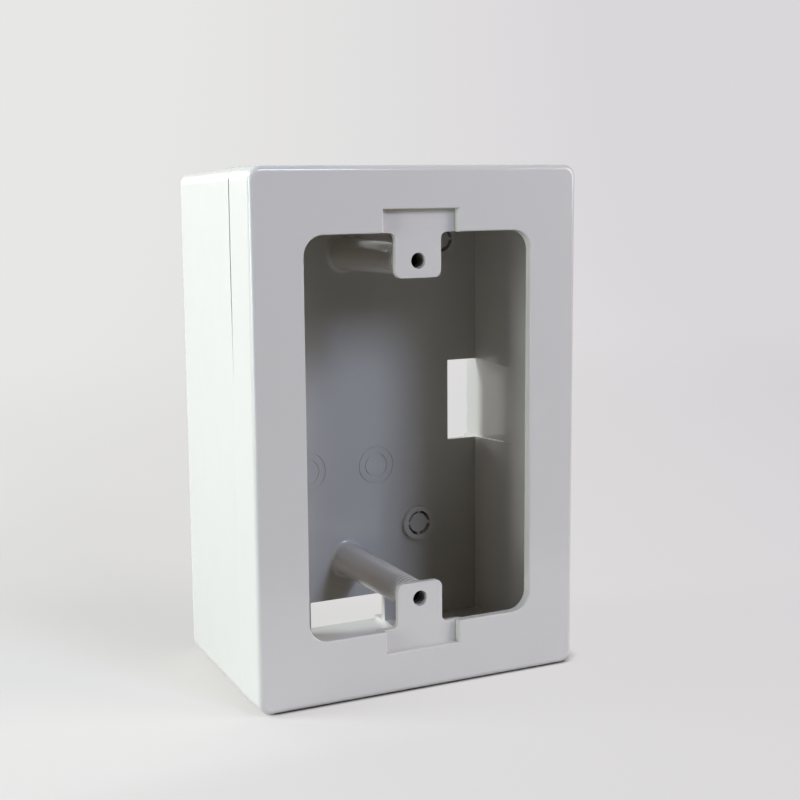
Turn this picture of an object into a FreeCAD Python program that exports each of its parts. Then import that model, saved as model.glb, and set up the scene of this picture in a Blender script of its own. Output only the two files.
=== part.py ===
import FreeCAD, Part
import os
import Sketcher

# Surface mount junction box: a deep rear base that goes on the wall and a slim front frame on top of it.
# Millimetres. X runs to the right, Y from the open front to the wall, Z up.
# The origin is the middle of the rear rim, the plane that lies on the wall.

SIZES = {
    # Whole box
    "overall_depth": 52,
    # Front frame
    "frame_width": 87.4,
    "frame_height": 128.8,
    "frame_depth": 12.4,
    "frame_face": 2.4,
    "frame_skirt": 1.4,
    "frame_corner_radius": 3.2,
    "frame_edge_radius": 1.4,
    "opening_width": 61,
    "opening_height": 97,
    "opening_corner_radius": 5,
    "opening_edge_radius": 0.4,
    # Screw lugs of the front frame and the recess that each one starts from
    "lug_spacing": 83.5,
    "lug_hole_diameter": 3.9,
    "lug_width": 12.3,
    "lug_thickness": 1.4,
    "lug_tip_margin": 4.1,
    "lug_tip_radius": 1.8,
    "lug_root_radius": 1.5,
    "recess_width": 20.2,
    "recess_length": 5.6,
    "recess_depth": 1.85,
    "recess_border": 1.5,
    # Seam between frame and base: a lap joint with a gap that closes towards the middle
    "lip_length": 5,
    "lap_clearance": 0.15,
    "base_step": 0.1,
    "seam_gap": 0.9,
    "seam_start": 1,
    "seam_full": 38,
    # Rear base
    "base_wall": 2.4,
    "base_draft": 1.3,
    "base_corner_radius": 3.2,
    "base_rim_radius": 0.6,
    "back_wall": 2.3,
    "back_inset": 4.9,
    "rim_wall": 1.8,
    # Cable windows in the back wall and the thin panels beside them
    "window_length": 22.4,
    "side_window_edge": 31.3,
    "end_window_edge": 52.7,
    "panel_wall": 1.2,
    "panel_reach": 28,
    "panel_draft": 1.3,
    "window_draft": 2.6,
    # Screw posts
    "post_root_diameter": 9,
    "post_tip_diameter": 7.6,
    "post_root_radius": 1.2,
    "post_bore_diameter": 3.6,
    "post_bore_depth": 25,
    # Wall fixing knock-outs: a collar with a disc on four spokes inside it, and a thin web behind the slots
    "outer_fixing_across": 28.7,
    "outer_fixing_up": 44.8,
    "inner_fixing_across": 21.6,
    "inner_fixing_up": 33.85,
    "collar_diameter": 9.4,
    "collar_height": 1.3,
    "collar_bore": 6.8,
    "collar_setback": 0.4,
    "disc_diameter": 5.4,
    "disc_drop": 0.6,
    "slot_web": 0.5,
    "spoke_width": 0.8,
    # Moulding date circles on the back wall
    "right_date_across": 8.7,
    "left_date_across": 11.6,
    "date_down": 16.45,
    "date_outer_diameter": 10.8,
    "date_inner_diameter": 7,
    "date_groove_width": 0.6,
    "date_groove_depth": 0.2,
}

doc = FreeCAD.newDocument("junction_box")
sheet = doc.addObject("Spreadsheet::Sheet", "Sizes")
for row, (alias, number) in enumerate(SIZES.items(), 1):
    sheet.set(f"A{row}", alias)
    sheet.set(f"B{row}", str(number))
    sheet.setAlias(f"B{row}", alias)
doc.recompute()

# Depths of the main planes ahead of the wall
FRONT = "Sizes.overall_depth"
SEAM = "(Sizes.overall_depth - Sizes.frame_depth)"
FLOOR = "(Sizes.back_inset + Sizes.back_wall)"
LUG_BACK = "(Sizes.overall_depth - Sizes.recess_depth - Sizes.lug_thickness)"
LIP_END = f"({SEAM} + Sizes.lip_length)"

# Half sizes of the base's drafted outline at the seam and at the wall
BASE_HALF_WIDTH = "(Sizes.frame_width / 2 - Sizes.base_step)"
BASE_HALF_HEIGHT = "(Sizes.frame_height / 2 - Sizes.base_step)"
REAR_HALF_WIDTH = f"({BASE_HALF_WIDTH} - Sizes.base_draft)"
REAR_HALF_HEIGHT = f"({BASE_HALF_HEIGHT} - Sizes.base_draft)"


def size(alias):
    """Value of one cell of the sheet."""
    return float(sheet.get(alias))


def origin_feature(body, role):
    """Origin plane or axis of a body."""
    return [item for item in body.Origin.OriginFeatures if item.Role == role][0]


def on_wall_plane(item, body, ahead, across="0", up="0"):
    """Attach a sketch or primitive parallel to the wall, at a depth ahead of it."""
    item.AttachmentSupport = (origin_feature(body, "XZ_Plane"), [""])
    item.MapMode = "FlatFace"
    item.setExpression("AttachmentOffset.Base.x", across)
    item.setExpression("AttachmentOffset.Base.y", up)
    item.setExpression("AttachmentOffset.Base.z", ahead)


def bind(sketch, name, constraint, expression):
    """Add a named dimension to a sketch and tie it to the sheet."""
    index = sketch.addConstraint(constraint)
    sketch.renameConstraint(index, name)
    sketch.setExpression(f"Constraints.{name}", expression)


def rectangle(body, name, ahead, across, up):
    """Rectangle parallel to the wall. Each span is a length about the middle or a (near, far) pair."""
    sketch = body.newObject("Sketcher::SketchObject", name)
    on_wall_plane(sketch, body, ahead)
    left = 10 if isinstance(across, tuple) else -20
    low = 10 if isinstance(up, tuple) else -20
    corners = [(left, low), (20, low), (20, 20), (left, 20)]
    points = [FreeCAD.Vector(x, y, 0) for x, y in corners]
    for number in range(4):
        sketch.addGeometry(Part.LineSegment(points[number], points[(number + 1) % 4]))
    for number in range(4):
        sketch.addConstraint(Sketcher.Constraint("Coincident", number, 2, (number + 1) % 4, 1))
    for number in (0, 2):
        sketch.addConstraint(Sketcher.Constraint("Horizontal", number))
    for number in (1, 3):
        sketch.addConstraint(Sketcher.Constraint("Vertical", number))
    for kind, line, span, word in (("DistanceX", 0, across, "across"), ("DistanceY", 1, up, "up")):
        if isinstance(span, tuple):
            bind(sketch, f"{word}_near", Sketcher.Constraint(kind, -1, 1, line, 1, 10), span[0])
            bind(sketch, f"{word}_far", Sketcher.Constraint(kind, -1, 1, line, 2, 20), span[1])
        else:
            bind(sketch, f"{word}_length", Sketcher.Constraint(kind, line, 1, line, 2, 40), span)
            bind(sketch, f"{word}_half", Sketcher.Constraint(kind, -1, 1, line, 2, 20), f"({span}) / 2")
    return sketch


def circles(body, name, ahead, across, up, diameters):
    """Concentric circles parallel to the wall."""
    sketch = body.newObject("Sketcher::SketchObject", name)
    on_wall_plane(sketch, body, ahead, across, up)
    for number, diameter in enumerate(diameters):
        radius = 10 - number
        sketch.addGeometry(Part.Circle(FreeCAD.Vector(0, 0, 0), FreeCAD.Vector(0, 0, 1), radius))
        sketch.addConstraint(Sketcher.Constraint("Coincident", number, 3, -1, 1))
        bind(sketch, f"diameter_{number + 1}", Sketcher.Constraint("Diameter", number, 2 * radius), diameter)
    return sketch


def offset_from_middle(sketch, name, kind, geometry, position, side, expression):
    """Set how far a point lies from the sketch's origin, on the plus or the minus side."""
    if side > 0:
        bind(sketch, name, Sketcher.Constraint(kind, -1, 1, geometry, position, 10), expression)
    else:
        bind(sketch, name, Sketcher.Constraint(kind, geometry, position, -1, 1, 10), expression)


def spread_circles(body, name, ahead, places, diameter):
    """Equal circles at several places about the middle."""
    sketch = body.newObject("Sketcher::SketchObject", name)
    on_wall_plane(sketch, body, ahead)
    for number, ((across, up), side, level) in enumerate(places):
        centre = FreeCAD.Vector(20 * side, 20 * level, 0)
        sketch.addGeometry(Part.Circle(centre, FreeCAD.Vector(0, 0, 1), 5))
        offset_from_middle(sketch, f"across_{number}", "DistanceX", number, 3, side, across)
        offset_from_middle(sketch, f"up_{number}", "DistanceY", number, 3, level, up)
        bind(sketch, f"diameter_{number}", Sketcher.Constraint("Diameter", number, 10), diameter)
    return sketch


def spread_rectangles(body, name, ahead, places, length, height):
    """Equal rectangles centred at several places about the middle."""
    sketch = body.newObject("Sketcher::SketchObject", name)
    on_wall_plane(sketch, body, ahead)
    for number, ((across, up), side, level) in enumerate(places):
        corners = [(10, 10), (20, 10), (20, 20), (10, 20)]
        points = [FreeCAD.Vector(x * side, y * level, 0) for x, y in corners]
        first = 4 * number
        for line in range(4):
            sketch.addGeometry(Part.LineSegment(points[line], points[(line + 1) % 4]))
        for line in range(4):
            following = first + (line + 1) % 4
            sketch.addConstraint(Sketcher.Constraint("Coincident", first + line, 2, following, 1))
        for line in (first, first + 2):
            sketch.addConstraint(Sketcher.Constraint("Horizontal", line))
            sketch.addConstraint(Sketcher.Constraint("Vertical", line + 1))
        near_across = f"{across} - {length} / 2"
        far_across = f"{across} + {length} / 2"
        near_up = f"{up} - {height} / 2"
        far_up = f"{up} + {height} / 2"
        offset_from_middle(sketch, f"near_across_{number}", "DistanceX", first, 1, side, near_across)
        offset_from_middle(sketch, f"far_across_{number}", "DistanceX", first, 2, side, far_across)
        offset_from_middle(sketch, f"near_up_{number}", "DistanceY", first + 1, 1, level, near_up)
        offset_from_middle(sketch, f"far_up_{number}", "DistanceY", first + 1, 2, level, far_up)
    return sketch


def extrude(body, kind, name, sketch, length, towards_front):
    """Pad or pocket of a sketch, towards the front or towards the wall."""
    feature = body.newObject("PartDesign::" + kind, name)
    feature.Profile = sketch
    feature.Reversed = towards_front if kind == "Pocket" else not towards_front
    feature.setExpression("Length", length)
    return feature


def primitive(body, kind, name, ahead, across, up, **lengths):
    """Solid of revolution or box that starts at a depth ahead of the wall and runs to the front."""
    feature = body.newObject("PartDesign::" + kind, name)
    on_wall_plane(feature, body, ahead, across, up)
    for key, expression in lengths.items():
        feature.setExpression(key, expression)
    return feature


def about_middle(half_width, half_height):
    """Outline that is even about the middle."""
    return (f"-({half_width})", half_width), (f"-({half_height})", half_height)


def drafted_block(body, kind, name, front, rear, ahead_front, ahead_rear):
    """Block whose outline changes evenly from its front to its rear ((left, right), (low, high))."""
    feature = body.newObject("PartDesign::" + kind, name)
    feature.setExpression("Ymin", f"-({ahead_front})")
    feature.setExpression("Ymax", f"-({ahead_rear})")
    for ((left, right), (low, high)), mark in ((front, ""), (rear, "2")):
        feature.setExpression(f"X{mark}min", left)
        feature.setExpression(f"X{mark}max", right)
        feature.setExpression(f"Z{mark}min", low)
        feature.setExpression(f"Z{mark}max", high)
    return feature


def mirror(body, name, originals, role):
    """Copy features to the other side of an origin plane."""
    feature = body.newObject("PartDesign::Mirrored", name)
    feature.Originals = originals
    feature.MirrorPlane = (origin_feature(body, role), [""])
    body.Tip = feature
    return feature


def fillet(body, name, base, test, radius):
    """Round the edges of a feature that pass a test."""
    doc.recompute()
    edges = [f"Edge{n}" for n, edge in enumerate(base.Shape.Edges, 1) if test(edge)]
    feature = body.newObject("PartDesign::Fillet", name)
    feature.Base = (base, edges)
    feature.setExpression("Radius", radius)
    body.Tip = feature
    return feature


def runs_in_depth(edge):
    """An edge from front to rear, upright or with draft."""
    return len(edge.Vertexes) == 2 and abs(edge.tangentAt(edge.FirstParameter).y) > 0.9


def lies_at(edge, ahead):
    """An edge in one plane parallel to the wall."""
    box = edge.BoundBox
    return abs(box.YMin + ahead) < 1e-4 and abs(box.YMax + ahead) < 1e-4


def reach(edge):
    """Greatest distance across and up from the middle."""
    box = edge.BoundBox
    return max(abs(box.XMin), abs(box.XMax)), max(abs(box.ZMin), abs(box.ZMax))


# Front frame: a rounded tray with the opening through its face
frame = doc.addObject("PartDesign::Body", "front_frame")
frame.Label = "front_frame"
outline = rectangle(frame, "frame_outline", FRONT, "Sizes.frame_width", "Sizes.frame_height")
block = extrude(frame, "Pad", "frame_block", outline, "Sizes.frame_depth", False)
corners = fillet(frame, "frame_corners", block, runs_in_depth, "Sizes.frame_corner_radius")
front_edge = fillet(frame, "frame_front_edge", corners,
                    lambda edge: lies_at(edge, size("overall_depth")), "Sizes.frame_edge_radius")
inside = rectangle(frame, "frame_inside", SEAM, "Sizes.frame_width - 2 * Sizes.frame_skirt",
                   "Sizes.frame_height - 2 * Sizes.frame_skirt")
hollow = extrude(frame, "Pocket", "frame_hollow", inside, "Sizes.frame_depth - Sizes.frame_face", True)
inner_half_width = size("frame_width") / 2 - size("frame_skirt")
hollow_corners = fillet(
    frame, "frame_hollow_corners", hollow,
    lambda edge: runs_in_depth(edge) and abs(reach(edge)[0] - inner_half_width) < 1e-4,
    "Sizes.frame_corner_radius - Sizes.frame_skirt")
cut_out = rectangle(frame, "opening_outline", FRONT, "Sizes.opening_width", "Sizes.opening_height")
opening = extrude(frame, "Pocket", "opening", cut_out, "Sizes.frame_face", False)
opening_corners = fillet(
    frame, "opening_corners", opening,
    lambda edge: runs_in_depth(edge) and abs(reach(edge)[0] - size("opening_width") / 2) < 1e-4,
    "Sizes.opening_corner_radius")

# Screw lugs: a tongue set back in the opening, carried by a thick border round its recess
recess_far = "Sizes.opening_height / 2 + Sizes.recess_length"
border_outline = rectangle(frame, "border_outline", LUG_BACK, "Sizes.recess_width + 2 * Sizes.recess_border",
                           ("Sizes.opening_height / 2", f"{recess_far} + Sizes.recess_border"))
border = extrude(frame, "Pad", "recess_border", border_outline, "Sizes.lug_thickness", True)
tongue_outline = rectangle(frame, "tongue_outline", LUG_BACK, "Sizes.lug_width",
                           ("Sizes.lug_spacing / 2 - Sizes.lug_tip_margin", recess_far))
tongue = extrude(frame, "Pad", "tongue", tongue_outline, "Sizes.lug_thickness", True)
recess_outline = rectangle(frame, "recess_outline", FRONT, "Sizes.recess_width",
                           ("Sizes.lug_spacing / 2", recess_far))
recess = extrude(frame, "Pocket", "recess", recess_outline, "Sizes.recess_depth", False)
lug_circle = circles(frame, "lug_circle", FRONT, "0", "Sizes.lug_spacing / 2", ["Sizes.lug_hole_diameter"])
lug_hole = extrude(frame, "Pocket", "lug_hole", lug_circle,
                   "Sizes.recess_depth + Sizes.lug_thickness", False)
lugs = mirror(frame, "lower_lug", [border, tongue, recess, lug_hole], "XY_Plane")


def tongue_edge(edge, height):
    """An edge in depth on the side of a tongue, at a height from the middle."""
    across, up = reach(edge)
    on_side = abs(across - size("lug_width") / 2) < 1e-4
    return runs_in_depth(edge) and on_side and abs(up - height) < 1e-4


tongue_tip = size("lug_spacing") / 2 - size("lug_tip_margin")
recess_end = size("opening_height") / 2 + size("recess_length")
tips = fillet(frame, "tongue_tips", lugs, lambda edge: tongue_edge(edge, tongue_tip), "Sizes.lug_tip_radius")
roots = fillet(frame, "tongue_roots", tips,
               lambda edge: tongue_edge(edge, size("opening_height") / 2), "Sizes.lug_root_radius")


def opening_front_edge(edge):
    """An edge of the opening or of a recess in the front face."""
    across, up = reach(edge)
    in_opening = across < size("opening_width") / 2 + 0.01 and up < size("opening_height") / 2 + 0.01
    in_recess = across < size("recess_width") / 2 + 0.01
    return lies_at(edge, size("overall_depth")) and (in_opening or in_recess and up < recess_end + 0.01)


rims = fillet(frame, "opening_rim", roots, opening_front_edge, "Sizes.opening_edge_radius")

# Rear base: a drafted tub with a lip that laps inside the frame
base = doc.addObject("PartDesign::Body", "rear_base")
base.Label = "rear_base"
tub = drafted_block(base, "AdditiveWedge", "tub", about_middle(BASE_HALF_WIDTH, BASE_HALF_HEIGHT),
                    about_middle(REAR_HALF_WIDTH, REAR_HALF_HEIGHT), SEAM, "0")
tub_corners = fillet(base, "tub_corners", tub, runs_in_depth, "Sizes.base_corner_radius")
rim_edge = fillet(base, "rim_edge", tub_corners, lambda edge: lies_at(edge, 0), "Sizes.base_rim_radius")

# The gap of the seam: the shoulder falls away above mid-height and is level up to the top
across_all = ("-Sizes.frame_width", "Sizes.frame_width")
seam = drafted_block(base, "SubtractiveWedge", "seam_relief",
                     (across_all, ("Sizes.seam_start", "Sizes.frame_height")),
                     (across_all, ("Sizes.seam_full", "Sizes.frame_height")),
                     SEAM, f"{SEAM} - Sizes.seam_gap")

lip_width = "Sizes.frame_width - 2 * (Sizes.frame_skirt + Sizes.lap_clearance)"
lip_height = "Sizes.frame_height - 2 * (Sizes.frame_skirt + Sizes.lap_clearance)"
lip_outline = rectangle(base, "lip_outline", LIP_END, lip_width, lip_height)
lip = extrude(base, "Pad", "lip", lip_outline, "Sizes.lip_length + Sizes.seam_gap + Sizes.base_wall", False)
lip_half_width = size("frame_width") / 2 - size("frame_skirt") - size("lap_clearance")
lip_corners = fillet(
    base, "lip_corners", lip,
    lambda edge: runs_in_depth(edge) and abs(reach(edge)[0] - lip_half_width) < 1e-4,
    "Sizes.frame_corner_radius - Sizes.frame_skirt - Sizes.lap_clearance")

# Inside of the tub, with walls of even thickness down to the back wall
slope = f"(Sizes.base_draft / {SEAM})"
cavity = drafted_block(
    base, "SubtractiveWedge", "cavity",
    about_middle(f"{BASE_HALF_WIDTH} - Sizes.base_wall + Sizes.lip_length * {slope}",
                 f"{BASE_HALF_HEIGHT} - Sizes.base_wall + Sizes.lip_length * {slope}"),
    about_middle(f"{REAR_HALF_WIDTH} - Sizes.base_wall + {FLOOR} * {slope}",
                 f"{REAR_HALF_HEIGHT} - Sizes.base_wall + {FLOOR} * {slope}"),
    LIP_END, FLOOR)


def cavity_corner(edge):
    """An inner corner of the tub, from the back wall to the lip."""
    box = edge.BoundBox
    floor = size("back_inset") + size("back_wall")
    return runs_in_depth(edge) and abs(box.YMax + floor) < 1e-3


cavity_corners = fillet(base, "cavity_corners", cavity, cavity_corner,
                        "Sizes.base_corner_radius - Sizes.base_wall")

# Shallow space behind the back wall, inside the rim
rear_outline = rectangle(base, "rear_outline", "0", f"2 * ({REAR_HALF_WIDTH} - Sizes.rim_wall)",
                         f"2 * ({REAR_HALF_HEIGHT} - Sizes.rim_wall)")
rear_space = extrude(base, "Pocket", "rear_space", rear_outline, "Sizes.back_inset", True)
rear_half_width = size("frame_width") / 2 - size("base_step") - size("base_draft") - size("rim_wall")
rear_corners = fillet(
    base, "rear_corners", rear_space,
    lambda edge: runs_in_depth(edge) and abs(reach(edge)[0] - rear_half_width) < 1e-4,
    "Sizes.base_corner_radius - Sizes.rim_wall")

# Cable windows at the sides and ends; each cut narrows to the front and thins the wall to a break-out panel
AHEAD = f"(Sizes.panel_reach - {FLOOR})"
side_taper = "tan(Sizes.window_draft * 1 deg)"
panel_taper = "tan(Sizes.panel_draft * 1 deg)"
front_half = f"(Sizes.window_length / 2 - {AHEAD} * {side_taper})"
rear_half = f"(Sizes.window_length / 2 + {FLOOR} * {side_taper})"
window_front = (f"-{front_half}", front_half)
window_rear = (f"-{rear_half}", rear_half)
panel_across = f"{REAR_HALF_WIDTH} + {FLOOR} * {slope} - Sizes.panel_wall"
panel_up = f"{REAR_HALF_HEIGHT} + {FLOOR} * {slope} - Sizes.panel_wall"
for names, edge, panel in ((("right", "left"), "Sizes.side_window_edge", panel_across),
                           (("upper", "lower"), "Sizes.end_window_edge", panel_up)):
    front_span = (edge, f"{panel} - {AHEAD} * {panel_taper}")
    rear_span = (edge, f"{panel} + {FLOOR} * {panel_taper}")
    for name in names:
        if name in ("left", "lower"):
            front_span = (f"-({front_span[1]})", f"-({front_span[0]})")
            rear_span = (f"-({rear_span[1]})", f"-({rear_span[0]})")
        outlines = [(front_span, window_front), (rear_span, window_rear)]
        if name in ("upper", "lower"):
            outlines = [(length, span) for span, length in outlines]
        window = drafted_block(base, "SubtractiveWedge", f"{name}_window", *outlines,
                               "Sizes.panel_reach", "0")

# Screw posts: tapered, with a pilot bore, seated against the backs of the lugs
for side, up in (("upper", "Sizes.lug_spacing / 2"), ("lower", "-Sizes.lug_spacing / 2")):
    post = primitive(base, "AdditiveCone", f"{side}_post", FLOOR, "0", up,
                     Radius1="Sizes.post_root_diameter / 2", Radius2="Sizes.post_tip_diameter / 2",
                     Height=f"{LUG_BACK} - {FLOOR}")
    bore = primitive(base, "SubtractiveCylinder", f"{side}_post_bore", f"{LUG_BACK} - Sizes.post_bore_depth",
                     "0", up, Radius="Sizes.post_bore_diameter / 2", Height="Sizes.post_bore_depth")


def post_root(edge):
    """The circle where a post meets the back wall."""
    on_floor = lies_at(edge, size("back_inset") + size("back_wall"))
    round_edge = on_floor and edge.Curve.TypeId == "Part::GeomCircle"
    return round_edge and abs(edge.Curve.Radius - size("post_root_diameter") / 2) < 1e-4


post_roots = fillet(base, "post_roots", bore, post_root, "Sizes.post_root_radius")

# Wall fixing knock-outs: collars on both sides of the back wall, each with a disc held by four thin spokes
WEB = "(Sizes.back_inset + Sizes.slot_web)"
COLLAR_FRONT = f"({FLOOR} + Sizes.collar_height)"
DISC_LENGTH = f"({COLLAR_FRONT} - Sizes.disc_drop - {WEB})"
SPOKE = "(Sizes.collar_bore / 2 + Sizes.collar_diameter / 2)"
outer_place = ("Sizes.outer_fixing_across", "Sizes.outer_fixing_up")
inner_place = ("Sizes.inner_fixing_across", "Sizes.inner_fixing_up")
fixing_places = [(outer_place, 1, 1), (inner_place, 1, -1), (inner_place, -1, 1), (outer_place, -1, -1)]
collar_circles = spread_circles(base, "collar_circles", "Sizes.collar_setback", fixing_places,
                                "Sizes.collar_diameter")
collars = extrude(base, "Pad", "collars", collar_circles, f"{COLLAR_FRONT} - Sizes.collar_setback", True)
rear_circles = spread_circles(base, "rear_bore_circles", "0", fixing_places, "Sizes.collar_bore")
rear_bores = extrude(base, "Pocket", "rear_bores", rear_circles, "Sizes.back_inset", True)
front_circles = spread_circles(base, "front_bore_circles", COLLAR_FRONT, fixing_places, "Sizes.collar_bore")
front_bores = extrude(base, "Pocket", "front_bores", front_circles, f"{COLLAR_FRONT} - {WEB}", False)
level_outline = spread_rectangles(base, "level_spoke_outline", WEB, fixing_places,
                                  SPOKE, "Sizes.spoke_width")
level_spokes = extrude(base, "Pad", "level_spokes", level_outline, DISC_LENGTH, True)
upright_outline = spread_rectangles(base, "upright_spoke_outline", WEB, fixing_places,
                                    "Sizes.spoke_width", SPOKE)
upright_spokes = extrude(base, "Pad", "upright_spokes", upright_outline, DISC_LENGTH, True)
disc_circles = spread_circles(base, "disc_circles", WEB, fixing_places, "Sizes.disc_diameter")
discs = extrude(base, "Pad", "discs", disc_circles, DISC_LENGTH, True)

# Date circles: fine ring grooves in the back wall
date_rings = ["Sizes.date_outer_diameter", "Sizes.date_outer_diameter - 2 * Sizes.date_groove_width",
              "Sizes.date_inner_diameter", "Sizes.date_inner_diameter - 2 * Sizes.date_groove_width"]
for side, across in (("right", "Sizes.right_date_across"), ("left", "-Sizes.left_date_across")):
    rings = circles(base, f"{side}_date_circles", FLOOR, across, "-Sizes.date_down", date_rings)
    groove = extrude(base, "Pocket", f"{side}_date_grooves", rings, "Sizes.date_groove_depth", False)

doc.recompute()

# Every feature has to be sound before the pieces are written
for item in doc.Objects:
    if "Invalid" in item.State or "Error" in item.State:
        raise RuntimeError(f"{item.Name} failed: {item.State}")
for body in (frame, base):
    body.Placement = FreeCAD.Placement()
    shape = body.Shape
    if shape.isNull() or not shape.isValid() or len(shape.Solids) != 1:
        raise RuntimeError(f"{body.Label} is not one sound solid")

os.makedirs("parts", exist_ok=True)
for body in (frame, base):
    body.Shape.exportStep(f"parts/{body.Label}.step")
    print(body.Label, round(body.Shape.Volume / 1000, 2), "cm3")
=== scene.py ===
import math
import bmesh
import bpy
from mathutils import Matrix, Vector


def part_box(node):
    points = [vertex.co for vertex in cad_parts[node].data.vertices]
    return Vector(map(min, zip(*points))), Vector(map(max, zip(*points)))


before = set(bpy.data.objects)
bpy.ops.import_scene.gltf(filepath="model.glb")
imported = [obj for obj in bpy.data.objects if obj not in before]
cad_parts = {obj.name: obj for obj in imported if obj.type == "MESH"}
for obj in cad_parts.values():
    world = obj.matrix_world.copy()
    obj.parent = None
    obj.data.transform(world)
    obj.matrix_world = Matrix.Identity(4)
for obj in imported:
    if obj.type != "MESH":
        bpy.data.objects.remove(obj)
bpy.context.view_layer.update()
scene = bpy.context.scene
scene.view_settings.view_transform = "Standard"

# Lengths are in metres, angles in degrees and powers in watts.
# The base narrows to the rear, so the box leans back on the floor until its rear rim touches too.
# The box keeps its own axes here, and the floor takes the slope.
frame_low, frame_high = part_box("front_frame")
RIM_RISE = 0.0014
FLOOR_SLOPE = RIM_RISE / -frame_high.y

# Plastic of both mouldings: mottled colour, uneven roughness, and a soft wave and a fine skin as relief
PLASTIC = (0.575, 0.55, 0.49)
MOTTLE_SCALE, MOTTLE_DETAIL, MOTTLE_LOW, MOTTLE_HIGH = 38, 4, 0.985, 1.012
GLOSS_SCALE, GLOSS_DETAIL, ROUGHNESS_LOW, ROUGHNESS_HIGH = 140, 3, 0.13, 0.19
WAVE_SCALE, WAVE_DETAIL, WAVE_STRENGTH, WAVE_HEIGHT = 90, 1, 0.5, 0.0002
SKIN_SCALE, SKIN_DETAIL, SKIN_STRENGTH, SKIN_HEIGHT = 900, 3, 0.12, 0.00003

# Screw posts: height of their axes above and below the middle, and plane of their front ends
POST_Z, POST_END = 0.04175, -0.04875
# Bores: radius and soft edge, depth, colour of their painted shade, and how dark that painted shade is at
# the mouth and from where fully
BORE_RADIUS, BORE_BLUR, BORE_DEPTH = 0.00182, 0.00006, 0.0252
BORE_SHADE_COLOUR, MOUTH_SHARE, FULL_DEPTH = (0.03, 0.025, 0.02), 0.55, 0.004
# Tool rings: pitch, height, and how far they reach along the posts and out from the axes
RING_PITCH, RING_HEIGHT, RING_LENGTH, RING_RADIUS = 0.0015, 0.00012, 0.012, 0.006

# Sweep: front and rear end of the floor, radius and steps of the curve, top and half of the width
FLOOR_FRONT, FLOOR_REAR, BEND, BEND_STEPS = -0.16, 0.55, 0.6, 24
SWEEP_TOP, SWEEP_HALF = 2.2, 2.5

# Paper: tones that light the box, lighter and warmer tones as seen, and the painted shade under a piece
PAPER_ROUGHNESS, PAPER_SPECULAR, FIBRE_SCALE, FIBRE_DETAIL = 0.9, 0.1, 6, 2
PAPER_TONES = (0.49, 0.49, 0.49), (0.51, 0.51, 0.51)
PAPER_LOOKS = (0.70, 0.66, 0.59), (0.73, 0.68, 0.61)
PAINTED_CONTACT_SHADE = (0.07, 0.065, 0.06)
# The pale tone runs from the first colour to the second along a direction on the floor
PALE_TONES = (0.80, 0.80, 0.785), (0.7, 0.68, 0.7)
PALE_WAY, PALE_START, PALE_END = (0.9, -0.44, 0), -0.2, 0.25
# Close to the box and right of its left side the pale tone is weaker: painted shade on the floor there
NEAR_LEFT, NEAR_RIGHT, NEAR_FRONT, NEAR_REAR, NEAR_SHADE_STRENGTH = -0.1, -0.02, 0.2, 0.55, 0.965
# Share of the pale tone left and right of the box, and how it grows behind and in front of it
SIDE_LEFT, SIDE_RIGHT, LEFT_SHARE, RIGHT_SHARE = -0.06, 0.03, 0.5, 0.92
BEHIND_START, BEHIND_END = 0.02, 0.45
FRONT_END, FRONT_START, FRONT_SHARE = -0.085, -0.05, 0.9
# Painted contact shade: the paper's colour goes dark where a piece covers it
# Cover by a piece: reach, samples, tilt of the view upwards to the left, and its dark and clear ends
COVER_REACH, COVER_SAMPLES, COVER_TILT = 0.01, 8, (-1.3, 0, 0)
COVER_DARK, COVER_CLEAR = 0.35, 0.52

# Lamps: name, place, aim, width, height, power and colour
REAR_MIDDLE, BOX_MIDDLE = (0, 0, 0), (0, -0.03, 0)
COOL = (0.84, 0.926, 1.0)
SOFTBOXES = (
    ("rear_left_window", (-1.0, 0.32, 0.7), REAR_MIDDLE, 0.4, 0.4, 15.2, COOL),
    ("rear_softbox", (-0.4, 0.95, 0.22), REAR_MIDDLE, 0.5, 0.4, 4.6, (0.93, 0.95, 1.0)),
    ("left_softbox", (-0.98, -0.27, 0.02), (0, -0.05, 0), 0.3, 0.7, 9.4, COOL),
    ("top_softbox", (-0.06, -0.3, 1.15), (-0.06, 0, 0), 1.2, 0.7, 0.9, (0.92, 0.9, 1.0)),
    ("right_softbox", (0.66, -0.5, 0.28), BOX_MIDDLE, 0.42, 0.5, 5.3, (1.0, 0.955, 0.985)),
    ("right_window", (0.24, -0.75, 0.52), BOX_MIDDLE, 0.25, 0.25, 4.0, (0.61, 0.695, 1.0)),
)
WORLD_COLOUR, WORLD_STRENGTH = (1.0, 0.72, 0.4, 1), 0.006

# Camera: yaw, pitch and roll, place, lens and sensor in millimetres, and near end of what it shows
CAMERA_ANGLES = 26.757, 8.669, -0.418
CAMERA_PLACE = (-0.162063, -0.361223, 0.0615)
LENS, SENSOR, CLIP_START = 65.703, 36, 0.01


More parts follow.
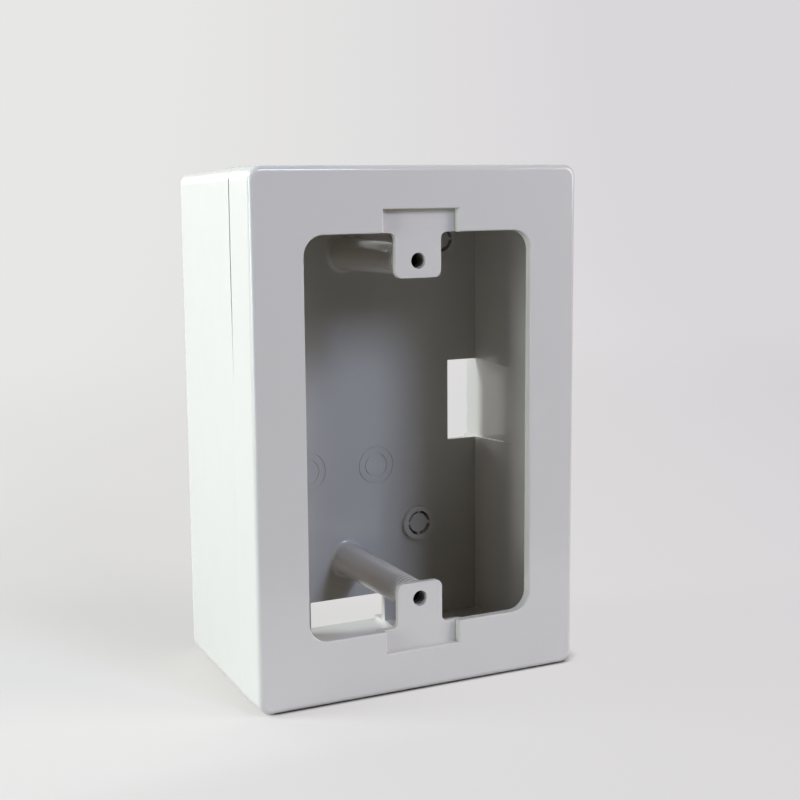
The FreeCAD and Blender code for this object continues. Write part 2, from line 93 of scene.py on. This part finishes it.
class Shading:
    """One new material and ways to add nodes to it. An operand is a socket or a value."""

    MIX_COLOURS, MIX_RESULT = (6, 7), 2

    def __init__(self, name):
        self.material = bpy.data.materials.new(name)
        self.material.use_nodes = True
        self.nodes = self.material.node_tree.nodes
        self.links = self.material.node_tree.links
        self.inputs = self.nodes["Principled BSDF"].inputs
        self.place = self.nodes.new("ShaderNodeTexCoord").outputs["Object"]

    def feed(self, socket, operand):
        """Link an operand to an input, or set it there."""
        if isinstance(operand, bpy.types.NodeSocket):
            self.links.new(operand, socket)
        else:
            socket.default_value = operand

    def axes(self):
        """Coordinates of the object as three sockets."""
        split = self.nodes.new("ShaderNodeSeparateXYZ")
        self.links.new(self.place, split.inputs["Vector"])
        return [split.outputs[axis] for axis in "XYZ"]

    def math(self, operation, *operands):
        """Result of a math node."""
        node = self.nodes.new("ShaderNodeMath")
        node.operation = operation
        for socket, operand in zip(node.inputs, operands):
            self.feed(socket, operand)
        return node.outputs["Value"]

    def vector(self, operation, *operands):
        """Result of a vector math node."""
        node = self.nodes.new("ShaderNodeVectorMath")
        node.operation = operation
        for socket, operand in zip(node.inputs, operands):
            self.feed(socket, operand)
        return node.outputs["Value" if operation == "DOT_PRODUCT" else "Vector"]

    def ramp(self, value, start, end, low=0, high=1, smooth=False):
        """A value that runs from low at start to high at end."""
        node = self.nodes.new("ShaderNodeMapRange")
        node.interpolation_type = "SMOOTHSTEP" if smooth else "LINEAR"
        for label, operand in (("Value", value), ("From Min", start), ("From Max", end),
                               ("To Min", low), ("To Max", high)):
            self.feed(node.inputs[label], operand)
        return node.outputs["Result"]

    def mix(self, factor, *colours):
        """A colour between two, each a socket or three numbers."""
        node = self.nodes.new("ShaderNodeMix")
        node.data_type = "RGBA"
        self.feed(node.inputs["Factor"], factor)
        for index, colour in zip(self.MIX_COLOURS, colours):
            self.feed(node.inputs[index], (*colour, 1) if isinstance(colour, tuple) else colour)
        return node.outputs[self.MIX_RESULT]

    def noise(self, scale, detail):
        """Noise fixed to the object."""
        node = self.nodes.new("ShaderNodeTexNoise")
        self.feed(node.inputs["Scale"], scale)
        self.feed(node.inputs["Detail"], detail)
        self.links.new(self.place, node.inputs["Vector"])
        return node.outputs["Fac"]

    def relief(self, height, strength, distance):
        """Put one more layer of bump on the surface."""
        node = self.nodes.new("ShaderNodeBump")
        self.feed(node.inputs["Strength"], strength)
        self.feed(node.inputs["Distance"], distance)
        self.links.new(height, node.inputs["Height"])
        for layer in self.inputs["Normal"].links:
            self.links.new(layer.from_socket, node.inputs["Normal"])
        self.links.new(node.outputs["Normal"], self.inputs["Normal"])


def moulded_plastic(name):
    """Semi-gloss white plastic with a faint mottle, uneven gloss and a very fine moulded skin."""
    plastic = Shading(name)
    tones = [tuple(part * level for part in PLASTIC) for level in (MOTTLE_LOW, MOTTLE_HIGH)]
    plastic.feed(plastic.inputs["Base Color"],
                 plastic.mix(plastic.noise(MOTTLE_SCALE, MOTTLE_DETAIL), *tones))
    plastic.feed(plastic.inputs["Roughness"],
                 plastic.ramp(plastic.noise(GLOSS_SCALE, GLOSS_DETAIL), 0, 1, ROUGHNESS_LOW, ROUGHNESS_HIGH))
    plastic.relief(plastic.noise(WAVE_SCALE, WAVE_DETAIL), WAVE_STRENGTH, WAVE_HEIGHT)
    plastic.relief(plastic.noise(SKIN_SCALE, SKIN_DETAIL), SKIN_STRENGTH, SKIN_HEIGHT)
    return plastic


def bore_shade_and_post_rings(plastic):
    """Painted shade inside the screw bores, and faint tool rings round the front ends of the posts."""
    across, depth, height = plastic.axes()
    offset = plastic.math("SUBTRACT", plastic.math("ABSOLUTE", height), POST_Z)
    radius = plastic.math("SQRT", plastic.math("ADD", plastic.math("MULTIPLY", across, across),
                                               plastic.math("MULTIPLY", offset, offset)))

    # Painted shade: the bores are darkened, more with depth, where shade falls inside them
    inside = plastic.ramp(radius, BORE_RADIUS, BORE_RADIUS + BORE_BLUR, 1, 0)
    deeper = plastic.ramp(depth, POST_END, POST_END + FULL_DEPTH, MOUTH_SHARE, 1)
    in_post = plastic.math("LESS_THAN", depth, POST_END + BORE_DEPTH)
    dark = plastic.math("MULTIPLY", plastic.math("MULTIPLY", inside, deeper), in_post)
    colour = plastic.inputs["Base Color"]
    plastic.feed(colour, plastic.mix(dark, colour.links[0].from_socket, BORE_SHADE_COLOUR))

    turn = plastic.math("SINE", plastic.math("MULTIPLY", depth, math.tau / RING_PITCH))
    fading = plastic.ramp(depth, POST_END, POST_END + RING_LENGTH, 1, 0)
    round_post = plastic.math("LESS_THAN", radius, RING_RADIUS)
    rings = plastic.math("MULTIPLY", plastic.math("MULTIPLY", turn, fading), round_post)
    plastic.relief(rings, 1, RING_HEIGHT)


def dress(node, material):
    """Give a CAD node one material."""
    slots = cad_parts[node].data.materials
    slots.clear()
    slots.append(material)


def floor_z(y):
    """Height of the floor, which touches the frame's lower rear edge and the rear rim."""
    return frame_low.z + FLOOR_SLOPE * (y - frame_high.y)


def sweep_sheet():
    """Floor, curve and backdrop in one sheet."""
    profile = [(y, floor_z(y)) for y in (FLOOR_FRONT, FLOOR_REAR)]
    for step in range(1, BEND_STEPS + 1):
        turn = math.radians(90) * step / BEND_STEPS
        profile.append((FLOOR_REAR + BEND * math.sin(turn),
                        floor_z(FLOOR_REAR) + BEND * (1 - math.cos(turn))))
    profile.append((FLOOR_REAR + BEND, SWEEP_TOP))
    mesh = bmesh.new()
    rows = [[mesh.verts.new((x, y, z)) for x in (-SWEEP_HALF, SWEEP_HALF)] for y, z in profile]
    for lower, upper in zip(rows, rows[1:]):
        mesh.faces.new((lower[0], lower[1], upper[1], upper[0])).smooth = True
    data = bpy.data.meshes.new("sweep")
    mesh.to_mesh(data)
    mesh.free()
    sheet = bpy.data.objects.new("sweep", data)
    scene.collection.objects.link(sheet)
    return sheet


def sweep_paper():
    """Matt paper that shows an even pale tone to the camera and in reflections.

    Near the box it shows part of its own shading as well, most on the left,
    and right under a piece all of it, on a colour painted dark as contact shade.
    """
    paper = Shading("sweep_paper")
    paper.feed(paper.inputs["Roughness"], PAPER_ROUGHNESS)
    paper.feed(paper.inputs["Specular IOR Level"], PAPER_SPECULAR)
    across, depth, _ = paper.axes()
    ray = paper.nodes.new("ShaderNodeLightPath").outputs
    seen = paper.math("MAXIMUM", ray["Is Camera Ray"], ray["Is Glossy Ray"])
    seen = paper.math("MAXIMUM", seen, ray["Is Transmission Ray"])

    # Under a piece, out of reach of the light from the left, the paper's colour is painted dark as contact
    # shade
    normal = paper.nodes.new("ShaderNodeNewGeometry").outputs["Normal"]
    cover = paper.nodes.new("ShaderNodeAmbientOcclusion")
    cover.samples = COVER_SAMPLES
    paper.feed(cover.inputs["Distance"], COVER_REACH)
    paper.feed(cover.inputs["Normal"], paper.vector("NORMALIZE", paper.vector("ADD", normal, COVER_TILT)))
    clear = paper.ramp(cover.outputs["AO"], COVER_DARK, COVER_CLEAR, smooth=True)
    fibre = paper.noise(FIBRE_SCALE, FIBRE_DETAIL)
    tone = paper.mix(seen, paper.mix(fibre, *PAPER_TONES), paper.mix(fibre, *PAPER_LOOKS))
    paper.feed(paper.inputs["Base Color"], paper.mix(clear, PAINTED_CONTACT_SHADE, tone))

    pale = paper.nodes.new("ShaderNodeEmission")
    along = paper.ramp(paper.vector("DOT_PRODUCT", paper.place, PALE_WAY), PALE_START, PALE_END)
    paper.feed(pale.inputs["Color"], paper.mix(along, *PALE_TONES))
    # Painted shade: the pale tone is dimmed near the box on its right
    near = paper.ramp(across, NEAR_LEFT, NEAR_RIGHT, 1, NEAR_SHADE_STRENGTH, smooth=True)
    paper.feed(pale.inputs["Strength"], paper.ramp(depth, NEAR_FRONT, NEAR_REAR, near, 1, smooth=True))

    beside = paper.ramp(across, SIDE_LEFT, SIDE_RIGHT, LEFT_SHARE, RIGHT_SHARE, smooth=True)
    behind = paper.ramp(depth, BEHIND_START, BEHIND_END, beside, 1, smooth=True)
    front = paper.ramp(depth, FRONT_END, FRONT_START, FRONT_SHARE, 0, smooth=True)
    share = paper.math("MULTIPLY", paper.math("MAXIMUM", behind, front), clear)
    blend = paper.nodes.new("ShaderNodeMixShader")
    paper.feed(blend.inputs["Fac"], paper.math("MULTIPLY", seen, share))
    paper.links.new(paper.nodes["Principled BSDF"].outputs["BSDF"], blend.inputs[1])
    paper.links.new(pale.outputs["Emission"], blend.inputs[2])
    paper.links.new(blend.outputs["Shader"], paper.nodes["Material Output"].inputs["Surface"])
    return paper.material


def softbox(name, place, aim, width, height, watts, colour):
    """Rectangular soft light that faces a point."""
    data = bpy.data.lights.new(name, "AREA")
    data.shape = "RECTANGLE"
    data.size = width
    data.size_y = height
    data.energy = watts
    data.color = colour
    light = bpy.data.objects.new(name, data)
    light.location = place
    light.rotation_euler = (Vector(aim) - Vector(place)).to_track_quat("-Z", "Y").to_euler()
    scene.collection.objects.link(light)


def add_camera():
    """Camera at the photograph's viewing angle."""
    yaw, pitch, roll = (math.radians(angle) for angle in CAMERA_ANGLES)
    forward = Vector((math.sin(yaw) * math.cos(pitch), math.cos(yaw) * math.cos(pitch), -math.sin(pitch)))
    level = Vector((math.cos(yaw), -math.sin(yaw), 0))
    upright = level.cross(forward)
    right = math.cos(roll) * level + math.sin(roll) * upright
    up = math.cos(roll) * upright - math.sin(roll) * level
    data = bpy.data.cameras.new("camera")
    data.sensor_width = SENSOR
    data.lens = LENS
    data.clip_start = CLIP_START
    camera = bpy.data.objects.new("camera", data)
    turned = Matrix((right, up, -forward)).transposed().to_4x4()
    camera.matrix_world = Matrix.Translation(CAMERA_PLACE) @ turned
    scene.collection.objects.link(camera)
    scene.camera = camera


base_plastic = moulded_plastic("base_plastic")
bore_shade_and_post_rings(base_plastic)
dress("rear_base", base_plastic.material)
dress("front_frame", moulded_plastic("frame_plastic").material)

sweep = sweep_sheet()
sweep.data.materials.append(sweep_paper())

for lamp in SOFTBOXES:
    softbox(*lamp)

world = bpy.data.worlds.new("studio")
world.use_nodes = True
background = world.node_tree.nodes["Background"]
background.inputs["Color"].default_value = WORLD_COLOUR
background.inputs["Strength"].default_value = WORLD_STRENGTH
scene.world = world

add_camera()
bpy.context.view_layer.update()
